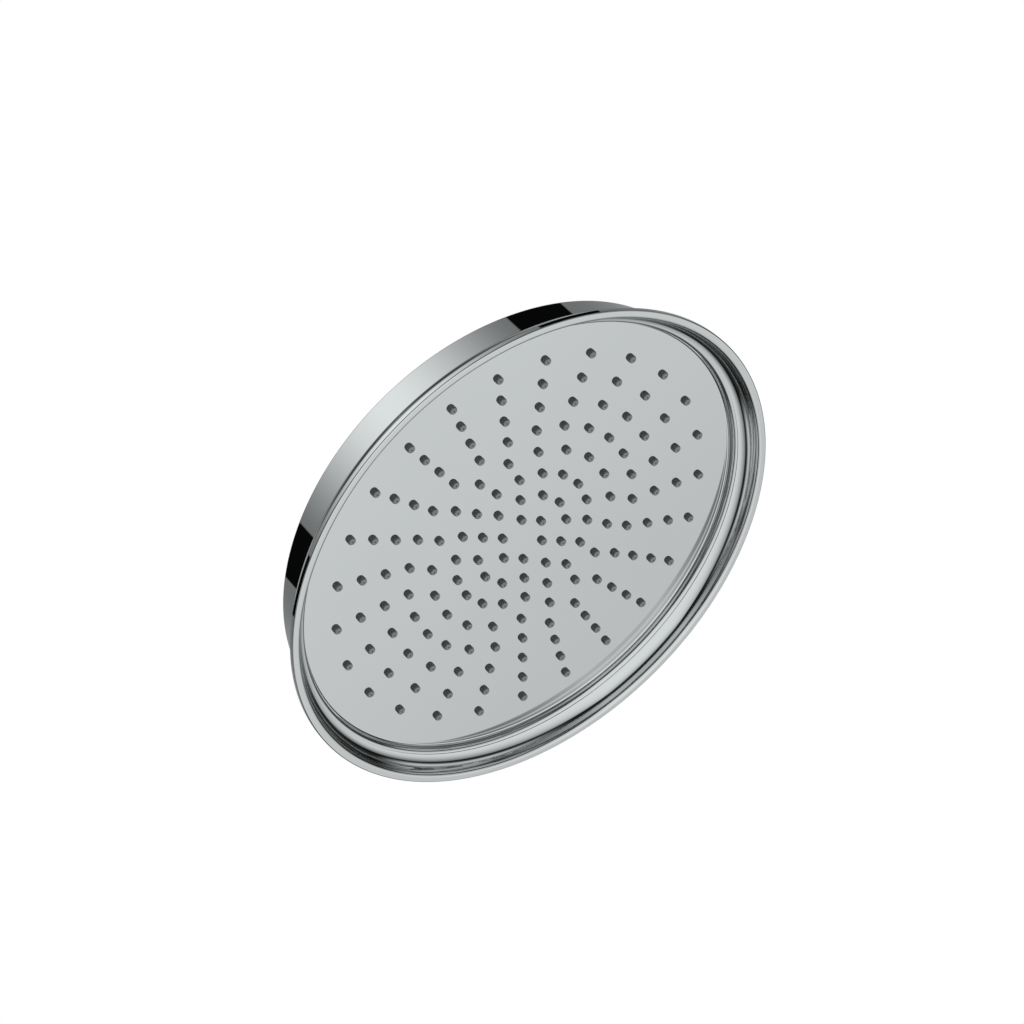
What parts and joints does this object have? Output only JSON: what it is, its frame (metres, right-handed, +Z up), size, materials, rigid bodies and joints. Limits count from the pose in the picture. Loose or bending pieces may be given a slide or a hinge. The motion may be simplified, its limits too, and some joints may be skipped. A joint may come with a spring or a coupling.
{
  "type": "shower head",
  "caption": "Round chrome overhead rain shower head: flat mirror face with rubber nozzles, ogee and cove rim, shallow domed back and a ball swivel with a female pipe thread.",
  "frame": {"origin": "centre of the inlet mouth, at the top of the swivel's stem", "axes": "+Z up along the inlet's axis, away from the spray; the spray leaves towards -Z; each ring of nozzles has one nozzle on -X"},
  "size_m": [0.306, 0.306, 0.1064],
  "materials": {
    "chrome": "polished chrome plate on brass",
    "silicone": "moulded grey silicone, satin",
    "seal_rubber": "black moulded rubber",
    "plastic": "moulded dark plastic",
    "acetal": "turned off-white acetal",
    "brass": "plain turned brass",
    "steel": "plain stainless steel"
  },
  "bodies": {
    "inlet": {"ball_connector": "chrome", "filter_screen": "steel", "filter_washer": "seal_rubber", "flow_regulator": "plastic", "regulator_seal": "seal_rubber"},
    "liner": {"ball_liner": "acetal"},
    "head": {"rim_ring": "chrome", "spray_plate": "chrome", "nozzle_mat": "silicone", "nozzle_retainer": "plastic", "retainer_screws": "steel", "face_gasket": "seal_rubber", "back_shell": "chrome", "neck_gasket": "seal_rubber", "inlet_neck": "chrome", "lock_washer": "brass", "lock_nut": "brass", "ball_seal": "seal_rubber", "cap_nut": "chrome"}
  },
  "joints": [
    {"name": "swivel_spin", "type": "hinge", "parent": "inlet", "child": "liner", "pos_m": [0, 0, -0.034], "axis": [0, 0, 1], "continuous": true},
    {"name": "swivel_tilt", "type": "hinge", "parent": "liner", "child": "head", "pos_m": [0, 0, -0.034], "axis": [1, 0, 0], "range_deg": [-15, 15]}
  ]
}
